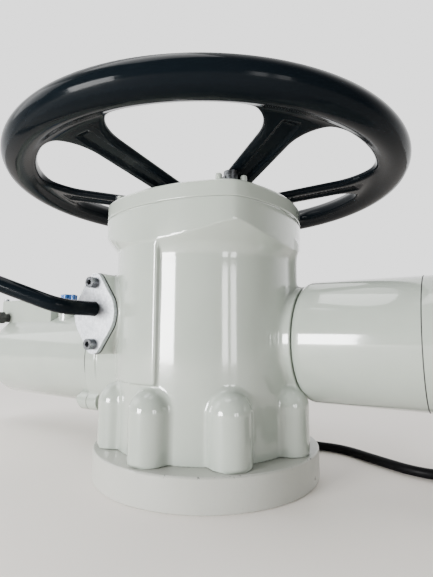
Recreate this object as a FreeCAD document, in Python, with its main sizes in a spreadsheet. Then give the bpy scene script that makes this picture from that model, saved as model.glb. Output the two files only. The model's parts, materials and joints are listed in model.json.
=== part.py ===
import FreeCAD, Part

import math
import os
import re

from FreeCAD import Placement, Rotation, Vector

# Motorized valve actuator for a quarter-turn or multi-turn valve, in millimetres.
# Origin: centre of the mounting face. Z: output axis. +X: control side. -X: motor side. -Y: lever side.

doc = FreeCAD.newDocument("valve_actuator")
sheet = doc.addObject("Spreadsheet::Sheet", "dims")

DIMENSIONS = {
    # mounting base
    "base_radius": 105.0,
    "base_thickness": 26.3,
    "bolt_circle_radius": 82.5,
    "mount_hole_radius": 8.65,
    "base_bore_radius": 38.0,
    "base_screw_radius": 8.0,
    "base_screw_head_radius": 12.0,
    "base_screw_head_height": 16.0,
    # gear case
    "case_foot_radius": 84.7,
    "case_neck_radius": 83.0,
    "cavity_radius": 72.0,
    "cavity_floor": 42.0,
    "boss_radius": 17.5,
    "boss_top": 83.0,
    "rib_radius": 7.0,
    "head_foot": 197.0,
    "head_corner_edge": 217.0,
    "head_corner_radius": 98.8,
    "head_face_radius": 88.5,
    "head_face_arc": 149.0,
    "head_seam": 235.5,
    "cover_top": 249.5,
    # drive train on the output axis
    "sleeve_radius": 30.0,
    "sleeve_bore": 24.0,
    "sleeve_bottom": 6.0,
    "sleeve_top": 232.0,
    "stem_bore": 19.0,
    "bush_top": 76.0,
    "bearing_outer": 46.0,
    "bearing_height": 14.0,
    "worm_height": 96.4,
    "worm_offset": 50.0,
    "gear_module": 4.0,
    "wheel_teeth": 19.0,
    "wheel_width": 22.0,
    "clutch_bottom": 132.0,
    "clutch_height": 30.0,
    "clutch_radius": 44.0,
    "groove_radius": 40.0,
    "clutch_travel": 12.4,
    # hand drive
    "hand_sleeve_radius": 46.0,
    "hand_sleeve_bore": 30.1,
    "hand_sleeve_bottom": 187.0,
    "hub_bottom": 256.4,
    "hub_radius": 58.0,
    "rim_centre_radius": 177.0,
    "rim_section_radius": 12.6,
    "rim_height": 280.0,
    "spoke_half_width": 14.0,
    "spoke_thickness": 8.0,
    # worm shaft and motor, along X
    "shaft_radius": 7.5,
    "motor_radius": 58.0,
    "motor_wall": 5.0,
    "motor_face": 161.0,
    "motor_cap_face": 344.0,
    "motor_end": 380.0,
    # declutch lever
    "lever_x": 71.0,
    "lever_z": 149.5,
    "plate_z": 145.5,
    "boss_face": 77.0,
    "plate_radius": 25.5,
    "plate_lobe_radius": 9.0,
    "plate_screw_offset": 28.0,
    "plate_thickness": 4.0,
    "lever_rod_radius": 6.7,
    "lever_bend_y": 119.0,
    "lever_arm": 158.0,
    "lever_rise": 20.0,
    "lever_splay": 28.0,
    # control side
    "control_y": 35.0,
    "control_z": 120.3,
    "control_radius": 55.5,
    "control_wall": 5.0,
    "control_start": 92.0,
    "control_seam": 192.0,
    "control_end": 238.0,
    # terminal box and supply cable
    "terminal_x": 15.0,
    "terminal_z": 158.0,
    "terminal_radius": 38.0,
    "terminal_seam": 132.0,
    "terminal_end": 150.0,
    "cable_radius": 4.5,
    "gland_y": 118.0,
}

for row, (alias, value) in enumerate(DIMENSIONS.items(), start=1):
    sheet.set("A%d" % row, alias)
    sheet.set("B%d" % row, str(value))
    sheet.setAlias("B%d" % row, alias)
doc.recompute()


def size(name):
    """One number of the spreadsheet."""
    return float(sheet.get(name))


def bind(thing, prop, value):
    """Bind a property to an expression over the sheet's names, or set a plain number."""
    if isinstance(value, str):
        words = re.sub(r"[a-z_]+", lambda word: "dims." + word[0] if word[0] in DIMENSIONS else word[0],
                       value)
        thing.setExpression(prop, words)
    else:
        thing.setExpression(prop, str(value))


AXES = {
    "z": Rotation(),
    "x": Rotation(Vector(0, 1, 0), 90),
    "y": Rotation(Vector(1, 0, 0), -90),
}


def place(thing, x=0, y=0, z=0, along="z"):
    thing.Placement = Placement(Vector(), AXES[along] if isinstance(along, str) else along)
    for letter, value in zip("xyz", (x, y, z)):
        bind(thing, "Placement.Base." + letter, value)
    return thing


def cyl(name, radius, height, x=0, y=0, z=0, along="z"):
    thing = doc.addObject("Part::Cylinder", name)
    bind(thing, "Radius", radius)
    bind(thing, "Height", height)
    return place(thing, x, y, z, along)


def cone(name, low, high, height, x=0, y=0, z=0, along="z"):
    thing = doc.addObject("Part::Cone", name)
    bind(thing, "Radius1", low)
    bind(thing, "Radius2", high)
    bind(thing, "Height", height)
    return place(thing, x, y, z, along)


def ball(name, radius, x=0, y=0, z=0):
    thing = doc.addObject("Part::Sphere", name)
    bind(thing, "Radius", radius)
    return place(thing, x, y, z)


def box(name, long, wide, high, x=0, y=0, z=0, turn=0):
    thing = doc.addObject("Part::Box", name)
    bind(thing, "Length", long)
    bind(thing, "Width", wide)
    bind(thing, "Height", high)
    return place(thing, x, y, z, Rotation(Vector(0, 0, 1), turn))


def prism(name, sides, radius, height, x=0, y=0, z=0, along="z"):
    thing = doc.addObject("Part::Prism", name)
    thing.Polygon = sides
    bind(thing, "Circumradius", radius)
    bind(thing, "Height", height)
    return place(thing, x, y, z, along)


def torus(name, radius, section, x=0, y=0, z=0, along="z"):
    thing = doc.addObject("Part::Torus", name)
    bind(thing, "Radius1", radius)
    bind(thing, "Radius2", section)
    return place(thing, x, y, z, along)


def fuse(name, parts):
    thing = doc.addObject("Part::MultiFuse", name)
    thing.Shapes = parts
    return thing


def common(name, parts):
    thing = doc.addObject("Part::MultiCommon", name)
    thing.Shapes = parts
    return thing


def cut(name, base, tools):
    thing = doc.addObject("Part::Cut", name)
    thing.Base = base
    thing.Tool = tools[0] if len(tools) == 1 else fuse(name + "_tools", tools)
    return thing


def ring(name, outer, inner, height, x=0, y=0, z=0, along="z"):
    """A plain ring: a cylinder with a hole right through it."""
    return cut(name, cyl(name + "_outer", outer, height, x, y, z, along),
               [cyl(name + "_inner", inner, height, x, y, z, along)])


def rounded(name, base, radius, wanted):
    """The base with the edges that `wanted` picks rounded."""
    doc.recompute()
    thing = doc.addObject("Part::Fillet", name)
    thing.Base = base
    thing.Edges = [(i, radius, radius) for i, edge in enumerate(base.Shape.Edges, start=1) if wanted(edge)]
    return thing


def circle_at(axis, place_along, radius, slack=0.2):
    """Picks full circles of one radius at one place along an axis."""
    index = "xyz".index(axis)

    def wanted(edge):
        if not isinstance(edge.Curve, Part.Circle):
            return False
        return abs(edge.Curve.Radius - radius) < slack and abs(edge.Curve.Center[index] - place_along) < slack

    return wanted


def around(count, start=0.0):
    return [math.radians(start + 360.0 * i / count) for i in range(count)]


def solid(name, make):
    """A free-form shape for what primitives and booleans cannot give."""
    thing = doc.addObject("Part::Feature", name)
    thing.Shape = make
    return thing


parts = {}


def keep(label, thing):
    """The finished sub-part, which its label names."""
    thing.Label = label
    parts[label] = thing
    return thing


def socket_screw(name, head, head_height, shank, reach, x, y, z, along="z", flip=False):
    """Socket head cap screw. Its head stands on the seat at (x, y, z) and its shank goes the other way."""
    index = {"x": 0, "y": 1, "z": 2}[along]
    sense = -1 if flip else 1
    spot = [x, y, z]

    def shifted(distance):
        moved = list(spot)
        moved[index] = "(%s) + (%s)" % (moved[index], distance)
        return moved

    head_part = cyl(name + "_head", head, head_height, *shifted(0 if sense > 0 else -head_height), along)
    shank_part = cyl(name + "_shank", shank, reach + 0.5, *shifted(-reach if sense > 0 else -0.5), along)
    deep = head_height * 0.55
    hexagon = prism(name + "_hex", 6, head * 0.55, deep + 1,
                    *shifted(head_height - deep if sense > 0 else -head_height - 1), along)
    return cut(name, fuse(name + "_solid", [head_part, shank_part]), [hexagon])


# ---------------------------------------------------------------- mounting base

corner_angles = around(4, 45)
square_angles = around(4, 0)


def on_circle(radius, angle):
    """Expressions for a point on a circle."""
    turn = math.degrees(angle)
    return "%s * cos(%g deg)" % (radius, turn), "%s * sin(%g deg)" % (radius, turn)


base_cuts = [cyl("base_bore", "base_bore_radius", "base_thickness", 0, 0, 0)]
for i, angle in enumerate(corner_angles):
    x, y = on_circle("bolt_circle_radius", angle)
    base_cuts.append(cyl("mount_hole_%d" % i, "mount_hole_radius", "base_thickness", x, y, 0))
for i, angle in enumerate(square_angles):
    x, y = on_circle("bolt_circle_radius", angle)
    base_cuts.append(cyl("screw_hole_%d" % i, "base_screw_radius + 0.4", "base_thickness", x, y, 0))
    base_cuts.append(cyl("screw_seat_%d" % i, "base_screw_head_radius + 1", "base_screw_head_height + 1.5",
                         x, y, 0))
disc = rounded("base_disc_edges", cyl("base_disc", "base_radius", "base_thickness"), 1.5,
               lambda edge: isinstance(edge.Curve, Part.Circle))
keep("base_flange", cut("base_flange", disc, base_cuts))

base_screw_list = []
for i, angle in enumerate(square_angles):
    x, y = on_circle("bolt_circle_radius", angle)
    base_screw_list.append(socket_screw("base_screw_%d" % i, size("base_screw_head_radius"),
                                        size("base_screw_head_height"), size("base_screw_radius"), 42,
                                        x, y, size("base_screw_head_height") + 1.5, "z", True))
keep("base_screws", fuse("base_screws", base_screw_list))

# ---------------------------------------------------------------- gear case

FLOOR = "base_thickness"


def head_plan(name, low, high, inset=0.0):
    """Rounded square with bulged faces, between two heights."""
    sides = []
    offset = "head_face_arc - head_face_radius"
    for i, (dx, dy) in enumerate([(1, 0), (-1, 0), (0, 1), (0, -1)]):
        sides.append(cyl("%s_side_%d" % (name, i), "head_face_arc - %g" % inset, "%s - (%s)" % (high, low),
                         "%d * (%s)" % (dx, offset), "%d * (%s)" % (dy, offset), low))
    sides.append(cyl(name + "_corners", "head_corner_radius - %g" % inset, "%s - (%s)" % (high, low), 0, 0,
                     low))
    return common(name, sides)


column = cone("column", "case_foot_radius", "case_neck_radius", "head_foot + 3 - base_thickness", 0, 0,
              FLOOR)
head_taper = cone("head_taper", "case_neck_radius",
                  "head_corner_radius + (head_corner_radius - case_neck_radius)",
                  "2 * (head_corner_edge - head_foot)", 0, 0, "head_foot")
head_core = head_plan("head_plan", "head_foot", "head_seam")
head = common("case_head", [head_core, head_taper])
bosses = []
for i, angle in enumerate(around(8, 0)):
    x, y = on_circle("bolt_circle_radius", angle)
    bosses.append(cyl("boss_%d" % i, "boss_radius", "boss_top - boss_radius - base_thickness", x, y, FLOOR))
    bosses.append(ball("boss_dome_%d" % i, "boss_radius", x, y, "boss_top - boss_radius"))

# Long rib up the right side, over one boss.
rib_angle = math.radians(13)
rib = cyl("side_rib", "rib_radius", "head_foot - 75",
          "(case_neck_radius - 1.5) * cos(%g deg)" % math.degrees(rib_angle),
          "(case_neck_radius - 1.5) * sin(%g deg)" % math.degrees(rib_angle), 75)

# Raised pad around the lever side.
pad_solid = cyl("pad_solid", "case_neck_radius + 5", 116, 0, 0, 86)
pad_window = box("pad_window", 126.5, 140, 116, -120, -140, 86)
pad = common("lever_pad", [pad_solid, pad_window])

# Neck to the motor, round the worm shaft, with a round flange at its end.
motor_neck = box("motor_neck", "motor_face - 50", 110, 69, "-motor_face", "worm_offset - 59",
                 "worm_height - 57")
motor_pad = cyl("motor_pad", "motor_radius + 4", 16, "-motor_face", "worm_offset", "worm_height", "x")
neck_round = cyl("neck_round", "motor_radius + 2", "motor_face - 50", "-motor_face", "worm_offset",
                 "worm_height", "x")
neck_shape = common("neck_shape", [motor_neck, cyl("neck_limit", "motor_radius + 8", "motor_face - 50",
                                                   "-motor_face", "worm_offset", "worm_height", "x")])

# Pad for the control housing, round the same shaft.
control_neck = cyl("control_neck", 52, "control_start - 50", 50, "control_y", "control_z", "x")
terminal_pad = cyl("terminal_pad", "terminal_radius - 6", 30, "-terminal_x", 66, "terminal_z", "y")


def lozenge(name, start, end, grow=0.0):
    """Eye-shaped plate or boss across Y: a middle circle, two screw lobes and their tangents."""
    middle = size("plate_radius") + grow
    lobe = size("plate_lobe_radius") + grow
    reach = size("plate_screw_offset")
    lean = math.asin((middle - lobe) / reach)
    cx, cz = -size("lever_x"), size("plate_z")

    def point(height, radius, angle):
        return Vector(cx + radius * math.cos(angle), start, cz + height + radius * math.sin(angle))

    top, low = math.pi / 2, -math.pi / 2
    lines = []
    right_mid, right_top = point(0, middle, lean), point(reach, lobe, lean)
    left_top, left_mid = point(reach, lobe, math.pi - lean), point(0, middle, math.pi - lean)
    left_low_mid, left_low = point(0, middle, math.pi + lean), point(-reach, lobe, math.pi + lean)
    right_low, right_low_mid = point(-reach, lobe, -lean), point(0, middle, -lean)
    lines.append(Part.makeLine(right_mid, right_top))
    lines.append(Part.Arc(right_top, point(reach, lobe, top), left_top).toShape())
    lines.append(Part.makeLine(left_top, left_mid))
    lines.append(Part.Arc(left_mid, point(0, middle, math.pi), left_low_mid).toShape())
    lines.append(Part.makeLine(left_low_mid, left_low))
    lines.append(Part.Arc(left_low, point(-reach, lobe, low), right_low).toShape())
    lines.append(Part.makeLine(right_low, right_low_mid))
    lines.append(Part.Arc(right_low_mid, point(0, middle, 0), right_mid).toShape())
    face = Part.Face(Part.Wire(lines))
    return solid(name, face.extrude(Vector(0, end - start, 0)))


BOSS_FACE = -size("boss_face")
lever_boss = lozenge("lever_boss", BOSS_FACE, 30, 0.8)

case_solid = fuse("case_solid", [column, head, rib, pad, neck_shape, motor_pad, neck_round, control_neck,
                                 terminal_pad, lever_boss] + bosses)

cavity = cyl("cavity", "cavity_radius", "head_seam - cavity_floor", 0, 0, "cavity_floor")
bearing_seat = cyl("bearing_seat", "bearing_outer", "cavity_floor - base_thickness", 0, 0, FLOOR)
shaft_way = cyl("shaft_way", "shaft_radius + 1.5", "motor_face + 140", "-motor_face", "worm_offset",
                "worm_height", "x")
motor_well = cyl("motor_well", 36, "motor_face - 82", "-motor_face", "worm_offset", "worm_height", "x")
worm_seat = cyl("worm_seat", 17, 152, -76, "worm_offset", "worm_height", "x")
fork_pocket = box("fork_pocket", 40, 28, 29.5, "-lever_x - 14", -14, "lever_z - 14.5")
lever_hole = cyl("lever_hole", 7.2, 100, "-lever_x", BOSS_FACE, "lever_z", "y")
seal_seat = cyl("seal_seat", 13, 6, "-lever_x", BOSS_FACE, "lever_z", "y")
spring_well = cyl("spring_well", 13, 26, "-lever_x", BOSS_FACE + 8, "lever_z", "y")
wire_way = cyl("wire_way", 12, 60, "-terminal_x", 50, "terminal_z", "y")
control_way = box("control_way", 30, 26, 26, 62, "control_y - 16", "control_z - 2")
case_holes = [cavity, bearing_seat, shaft_way, motor_well, worm_seat, fork_pocket, lever_hole, spring_well,
              seal_seat, wire_way, control_way]
for i, angle in enumerate(square_angles):
    x, y = on_circle("bolt_circle_radius", angle)
    case_holes.append(cyl("case_thread_%d" % i, "base_screw_radius + 0.1", 36, x, y, FLOOR))
COVER_SCREW_CIRCLE = 86.0
for i, angle in enumerate(corner_angles):
    x, y = on_circle(str(COVER_SCREW_CIRCLE), angle)
    case_holes.append(cyl("cover_thread_%d" % i, 3.1, 16, x, y, "head_seam - 16"))
for i, lift in enumerate((-1, 1)):
    case_holes.append(cyl("plate_thread_%d" % i, 3.1, 16, "-lever_x", BOSS_FACE,
                          "plate_z + %d * plate_screw_offset" % lift, "y"))
keep("gear_case", cut("gear_case", case_solid, case_holes))

# ---------------------------------------------------------------- top cover

cover_plate = head_plan("cover_plan", "head_seam", "cover_top")
collar = cyl("cover_collar", 63, 16, 0, 0, "head_seam - 16")
lugs = []
for i, angle in enumerate(corner_angles):
    for j, side in enumerate((-1, 1)):
        lug_angle = math.degrees(angle) + side * 6.9
        lugs.append(cyl("cover_lug_%d_%d" % (i, j), 2.8, 7.5, "88 * cos(%g deg)" % lug_angle,
                        "88 * sin(%g deg)" % lug_angle, "cover_top - 0.5"))
cover_cuts = [cyl("cover_bore", "hand_sleeve_radius + 0.6", "cover_top + 40", 0, 0, 200),
              cyl("cover_seat", 57, 15, 0, 0, "head_seam - 16"),
              cyl("cover_seal_seat", 53, 6, 0, 0, "cover_top - 6")]
for i, angle in enumerate(corner_angles):
    x, y = on_circle(str(COVER_SCREW_CIRCLE), angle)
    cover_cuts.append(cyl("cover_hole_%d" % i, 3.3, 30, x, y, "head_seam - 5"))
keep("top_cover", cut("top_cover", fuse("cover_solid", [cover_plate, collar] + lugs), cover_cuts))

cover_screw_list = []
for i, angle in enumerate(corner_angles):
    x, y = on_circle(str(COVER_SCREW_CIRCLE), angle)
    seat = "cover_top + 1.6"
    washer = ring("cover_washer_%d" % i, 7.2, 3.0, 1.6, x, y, "cover_top")
    cover_screw_list.append(fuse("cover_set_%d" % i, [washer, socket_screw(
        "cover_screw_%d" % i, 6.0, 8.0, 3.0, 27.0, x, y, seat)]))
keep("cover_screws", fuse("cover_screws", cover_screw_list))

keep("cover_seal", ring("cover_seal", 53, "hand_sleeve_radius + 0.1", 6, 0, 0, "cover_top - 6"))

# ---------------------------------------------------------------- bearings


def ball_bearing(name, outer, inner, width, balls, x, y, z, along="z"):
    """Inner ring, outer ring and balls: returns the three of them."""
    middle = (outer + inner) / 2.0
    ball_radius = (outer - inner) * 0.26
    gap = (outer - inner) * 0.17
    index = {"x": 0, "y": 1, "z": 2}[along]
    centre = [x, y, z]
    centre[index] = "(%s) + %g" % (centre[index], width / 2.0)
    race = torus(name + "_race", middle, ball_radius + 0.15, *centre, along)
    race_two = torus(name + "_race_two", middle, ball_radius + 0.15, *centre, along)
    inner_ring = cut(name + "_in", ring(name + "_in_blank", middle - gap, inner, width, x, y, z, along),
                     [race])
    outer_ring = cut(name + "_out", ring(name + "_out_blank", outer, middle + gap, width, x, y, z, along),
                     [race_two])
    spheres = []
    for i, angle in enumerate(around(balls)):
        spot = list(centre)
        first, second = {"x": (1, 2), "z": (0, 1)}[along]
        spot[first] = "(%s) + %g" % (spot[first], middle * math.cos(angle))
        spot[second] = "(%s) + %g" % (spot[second], middle * math.sin(angle))
        spheres.append(ball("%s_ball_%d" % (name, i), ball_radius, *spot))
    return inner_ring, outer_ring, fuse(name + "_balls", spheres)


lower_in, lower_out, lower_balls = ball_bearing("lower_bearing", size("bearing_outer"),
                                                size("sleeve_radius"),
                                                size("bearing_height"), 14, 0, 0, "base_thickness")
keep("lower_bearing_inner_ring", lower_in)
keep("lower_bearing_outer_ring", lower_out)
keep("lower_bearing_balls", lower_balls)

upper_in, upper_out, upper_balls = ball_bearing("cover_bearing", 57.0, size("hand_sleeve_radius"), 14.0, 20,
                                                0, 0, "head_seam - 15")
keep("cover_bearing_inner_ring", upper_in)
keep("cover_bearing_outer_ring", upper_out)
keep("cover_bearing_balls", upper_balls)

worm_rings = {"in": [], "out": [], "balls": []}
for i, start in enumerate((-76.0, 64.0)):
    inner_part, outer_part, ball_part = ball_bearing("worm_bearing_%d" % i, 17.0, size("shaft_radius"),
                                                     12.0, 8, start, "worm_offset", "worm_height", "x")
    worm_rings["in"].append(inner_part)
    worm_rings["out"].append(outer_part)
    worm_rings["balls"].append(ball_part)
keep("worm_bearing_inner_rings", fuse("worm_inner_rings", worm_rings["in"]))
keep("worm_bearing_outer_rings", fuse("worm_outer_rings", worm_rings["out"]))
keep("worm_bearing_balls", fuse("worm_ball_sets", worm_rings["balls"]))

keep("base_seal", ring("base_seal", "base_bore_radius", "sleeve_radius + 0.1", 9, 0, 0, 14))

# ---------------------------------------------------------------- output drive

sleeve_tube = ring("sleeve_tube", "sleeve_radius", "sleeve_bore", "sleeve_top - sleeve_bottom", 0, 0,
                   "sleeve_bottom")
sleeve_step = ring("sleeve_step", 37, "sleeve_radius - 1", 18, 0, 0,
                   "base_thickness + bearing_height + 0.1")
sleeve_keys = []
for i, side in enumerate((-1, 1)):
    key_box = box("sleeve_key_box_%d" % i, 8, 8, 45, side * 29.5 - 4, -4, 131)
    key_trim = cyl("sleeve_key_trim_%d" % i, 33.0, 45, 0, 0, 131)
    key_clear = cyl("sleeve_key_clear_%d" % i, 27.0, 45, 0, 0, 131)
    sleeve_keys.append(cut("sleeve_key_%d" % i, common("sleeve_key_raw_%d" % i, [key_box, key_trim]),
                           [key_clear]))
keep("drive_sleeve", fuse("drive_sleeve", [sleeve_tube, sleeve_step] + sleeve_keys))

bush_body = cyl("bush_body", "sleeve_bore", "bush_top - sleeve_bottom - 4", 0, 0, "sleeve_bottom + 4")
bush_bore = cyl("bush_bore", "stem_bore", "bush_top", 0, 0, 0)
bush_keyway = box("bush_keyway", 4, 10, "bush_top", "stem_bore - 1.2", -5, 0)
keep("drive_bush", cut("drive_bush", bush_body, [bush_bore, bush_keyway]))
keep("bush_lock_ring",
     cut("bush_lock_ring", ring("lock_ring_body", "sleeve_bore", 20.5, 3.5, 0, 0, "sleeve_bottom + 0.4"),
                           [box("lock_ring_slot", 60, 4, 2, -30, -2, "sleeve_bottom - 0.6")]))

# Worm wheel: a rim with straight slots at the worm's lead angle.
module = size("gear_module")
teeth = int(size("wheel_teeth"))
pitch_radius = module * teeth / 2.0
worm_pitch_radius = size("worm_offset") - pitch_radius
lead = math.degrees(math.atan(module / (2.0 * worm_pitch_radius)))
wheel_low = "worm_height - wheel_width / 2"
wheel_blank = cyl("wheel_blank", pitch_radius + module * 0.85, "wheel_width", 0, 0, wheel_low)
hub_neck = cyl("wheel_hub_neck", 32.8, 18, 0, 0, "worm_height + 1")
hub_collar = cyl("wheel_hub_collar", 40, 16, 0, 0, "clutch_bottom - 18")
slot_depth = module * 2.15
slot_wide = module * math.pi * 0.30


def tooth_slot():
    """One gap between teeth, wider at its mouth, across the wheel's face."""
    inside = pitch_radius - module * 1.2
    outside = inside + slot_depth + 4
    narrow = slot_wide * 0.78
    broad = slot_wide * 1.38
    tall = size("wheel_width") * 0.6
    section = Part.makePolygon([Vector(inside, -narrow, -tall), Vector(outside, -broad, -tall),
                                Vector(outside, broad, -tall), Vector(inside, narrow, -tall),
                                Vector(inside, -narrow, -tall)])
    prism_shape = Part.Face(section).extrude(Vector(0, 0, 2 * tall))
    prism_shape.rotate(Vector(0, 0, 0), Vector(1, 0, 0), -lead)
    return prism_shape


slots = []
for angle in around(teeth, 90.0 + 180.0 / teeth):
    one = tooth_slot()
    one.rotate(Vector(), Vector(0, 0, 1), math.degrees(angle))
    one.translate(Vector(0, 0, size("worm_height")))
    slots.append(one)
slot_tool = solid("wheel_slots", Part.makeCompound(slots))
dog_slots = []
for i, angle in enumerate(around(4, 45)):
    dog_slots.append(box("wheel_dog_slot_%d" % i, 60, 13, 7, 6.5 * math.sin(angle), -6.5 * math.cos(angle),
                         123.6, math.degrees(angle)))
wheel_bore = cyl("wheel_bore", "sleeve_radius", 60, 0, 0, 80)
rim_cut = cut("wheel_rim", wheel_blank, [slot_tool])
keep("worm_wheel",
     cut("worm_wheel", fuse("wheel_solid", [rim_cut, hub_neck, hub_collar]), dog_slots + [wheel_bore]))

# ---------------------------------------------------------------- clutch

clutch_body = cyl("clutch_body", "clutch_radius", "clutch_height", 0, 0, "clutch_bottom")
clutch_dogs = []
for i, angle in enumerate(around(4, 45)):
    for j, low in enumerate((125.0, size("clutch_bottom") + size("clutch_height") - 1.0)):
        x = 31.5 * math.cos(angle) + 6 * math.sin(angle)
        y = 31.5 * math.sin(angle) - 6 * math.cos(angle)
        dog = box("clutch_dog_%d_%d" % (i, j), 16, 12, 7.5, x, y, low, math.degrees(angle))
        clutch_dogs.append(common("clutch_dog_trim_%d_%d" % (i, j),
                                  [dog, cyl("dog_limit_%d_%d" % (i, j), 39.5, 60, 0, 0, 118)]))
clutch_groove = ring("clutch_groove", "clutch_radius + 1", "groove_radius", 11, 0, 0, "lever_z - 5.5")
clutch_bore = cyl("clutch_bore", "sleeve_radius + 0.25", 70, 0, 0, 115)
clutch_keyways = [box("clutch_keyway_%d" % i, 8.2, 8.8, 70, side * 29.5 - 4.1, -4.4, 115)
                  for i, side in enumerate((-1, 1))]
keep("clutch_ring", cut("clutch_ring", fuse("clutch_solid", [clutch_body] + clutch_dogs),
                        [clutch_groove, clutch_bore] + clutch_keyways))

# ---------------------------------------------------------------- hand drive

hand_tube = ring("hand_tube", "hand_sleeve_radius", "hand_sleeve_bore", "hub_bottom - hand_sleeve_bottom",
                 0, 0, "hand_sleeve_bottom")
hand_flange = ring("hand_flange", "hub_radius - 3", "hand_sleeve_bore", "hub_bottom - cover_top - 1.2", 0,
                   0, "cover_top + 1.2")
hand_dogs = []
for i, angle in enumerate(around(4, 0)):
    x = 34.5 * math.cos(angle) + 5.5 * math.sin(angle)
    y = 34.5 * math.sin(angle) - 5.5 * math.cos(angle)
    dog = box("hand_dog_%d" % i, 11, 11, 6, x, y, "hand_sleeve_bottom - 5.5", math.degrees(angle))
    hand_dogs.append(dog)
hand_threads = []
for i, angle in enumerate(around(6, 30)):
    x, y = on_circle("40", angle)
    hand_threads.append(cyl("hand_thread_%d" % i, 3.1, 16, x, y, "hub_bottom - 16"))
keep("handwheel_sleeve",
     cut("handwheel_sleeve", fuse("hand_solid", [hand_tube, hand_flange] + hand_dogs), hand_threads))

SPOKE_PHASE = 174.0 - 90.0 - 90.0
SPOKES = 6
rim_inside = size("rim_centre_radius") - size("rim_section_radius")


HUB_WEB = 6.5
HUB_HEIGHT = 8.0
WINDOW_CORNER = 36.0


def dish_profile():
    """Half section of the web: low and flat at the hub, rising to the middle of the rim."""
    hub, low = size("hub_radius"), size("hub_bottom")
    thick = size("spoke_thickness")
    reach, high = size("rim_centre_radius"), size("rim_height")
    slope_low = high - thick / 2.0
    return Part.Face(Part.makePolygon([
        Vector(20, 0, low), Vector(hub, 0, low), Vector(reach, 0, slope_low),
        Vector(reach, 0, slope_low + thick),
        Vector(hub, 0, low + HUB_WEB), Vector(20, 0, low + HUB_WEB), Vector(20, 0, low)]))


def window():
    """One opening between two spokes: straight sides, round outer end and large corners."""
    half = size("spoke_half_width")
    inner, outer = size("hub_radius") - 6.0, rim_inside - 1.5
    step = math.radians(360.0 / SPOKES)
    turn = step / 2.0
    apex = half / math.sin(turn)
    near = math.sqrt(inner ** 2 - half ** 2)
    far = math.sqrt(outer ** 2 - half ** 2)

    def side(distance, sign):
        along_x, along_y = math.cos(sign * turn), math.sin(sign * turn)
        return Vector(distance * along_x + half * sign * along_y,
                      distance * along_y - half * sign * along_x, 0)

    wire = Part.Wire([
        Part.makeLine(side(near, -1), side(far, -1)),
        Part.Arc(side(far, -1), Vector(outer, 0, 0), side(far, 1)).toShape(),
        Part.makeLine(side(far, 1), side(near, 1)),
        Part.Arc(side(near, 1), Vector(inner, 0, 0), side(near, -1)).toShape()])
    block = Part.Face(wire).extrude(Vector(0, 0, 60))
    upright = [edge for edge in block.Edges if abs(edge.BoundBox.ZLength - 60) < 0.01]
    outer_edges = [edge for edge in upright if edge.CenterOfMass.Length > 60 and math.hypot(
        edge.CenterOfMass.x, edge.CenterOfMass.y) > (inner + outer) / 2.0]
    inner_edges = [edge for edge in upright
                   if math.hypot(edge.CenterOfMass.x, edge.CenterOfMass.y) <= (inner + outer) / 2.0]
    block = block.makeFillet(WINDOW_CORNER, outer_edges)
    inner_edges = [edge for edge in block.Edges if abs(edge.BoundBox.ZLength - 60) < 0.01 and math.hypot(
        edge.CenterOfMass.x, edge.CenterOfMass.y) < inner + 3.0]
    block = block.makeFillet(8.0, inner_edges)
    block.translate(Vector(0, 0, size("hub_bottom") - 10))
    return block


web = dish_profile().revolve(Vector(), Vector(0, 0, 1), 360)
windows = []
for k in range(SPOKES):
    piece = window()
    piece.rotate(Vector(), Vector(0, 0, 1), -5.0 - 90.0 + 60.0 * k + 30.0)
    windows.append(piece)
web_part = solid("wheel_web", web)
window_part = solid("wheel_windows", Part.makeCompound(windows))
rim_part = torus("wheel_rim_ring", "rim_centre_radius", "rim_section_radius", 0, 0, "rim_height")
hub_boss = cyl("wheel_hub_boss", 44, HUB_HEIGHT, 0, 0, "hub_bottom")
wheel_holes = [cyl("wheel_centre_hole", "hand_sleeve_bore", 60, 0, 0, "hub_bottom - 5")]
for i, angle in enumerate(around(6, 30)):
    x, y = on_circle("40", angle)
    wheel_holes.append(cyl("wheel_hole_%d" % i, 3.3, 60, x, y, "hub_bottom - 5"))
spoked_web = cut("wheel_spokes", web_part, [window_part])
keep("handwheel", cut("handwheel", fuse("handwheel_solid", [spoked_web, rim_part, hub_boss]), wheel_holes))

hand_screw_list = []
for i, angle in enumerate(around(6, 30)):
    x, y = on_circle("40", angle)
    hand_screw_list.append(socket_screw("hand_screw_%d" % i, 3.9, 3.2, 3.0, 22.0, x, y,
                                         "hub_bottom + %g" % HUB_HEIGHT))
keep("handwheel_screws", fuse("handwheel_screws", hand_screw_list))

cap_body = cyl("cap_body", "hand_sleeve_bore - 0.2", 10, 0, 0, "hub_bottom + %g" % (HUB_HEIGHT - 7))
cap_head = cone("cap_head", 35.5, 30, 6, 0, 0, "hub_bottom + %g" % HUB_HEIGHT)
keep("stem_cap", fuse("stem_cap", [cap_body, cap_head]))

# ---------------------------------------------------------------- worm shaft and motor

worm_core = cyl("worm_core", worm_pitch_radius - module * 1.05, 66, -33, "worm_offset", "worm_height", "x")
worm_rod = cyl("worm_rod", "shaft_radius", "motor_cap_face - 2 + 112", "-motor_cap_face + 2", "worm_offset",
               "worm_height", "x")
worm_collars = [cyl("worm_collar_%d" % i, 10.5, 6, start, "worm_offset", "worm_height", "x")
                for i, start in enumerate((-64.0, 58.0))]


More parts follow.
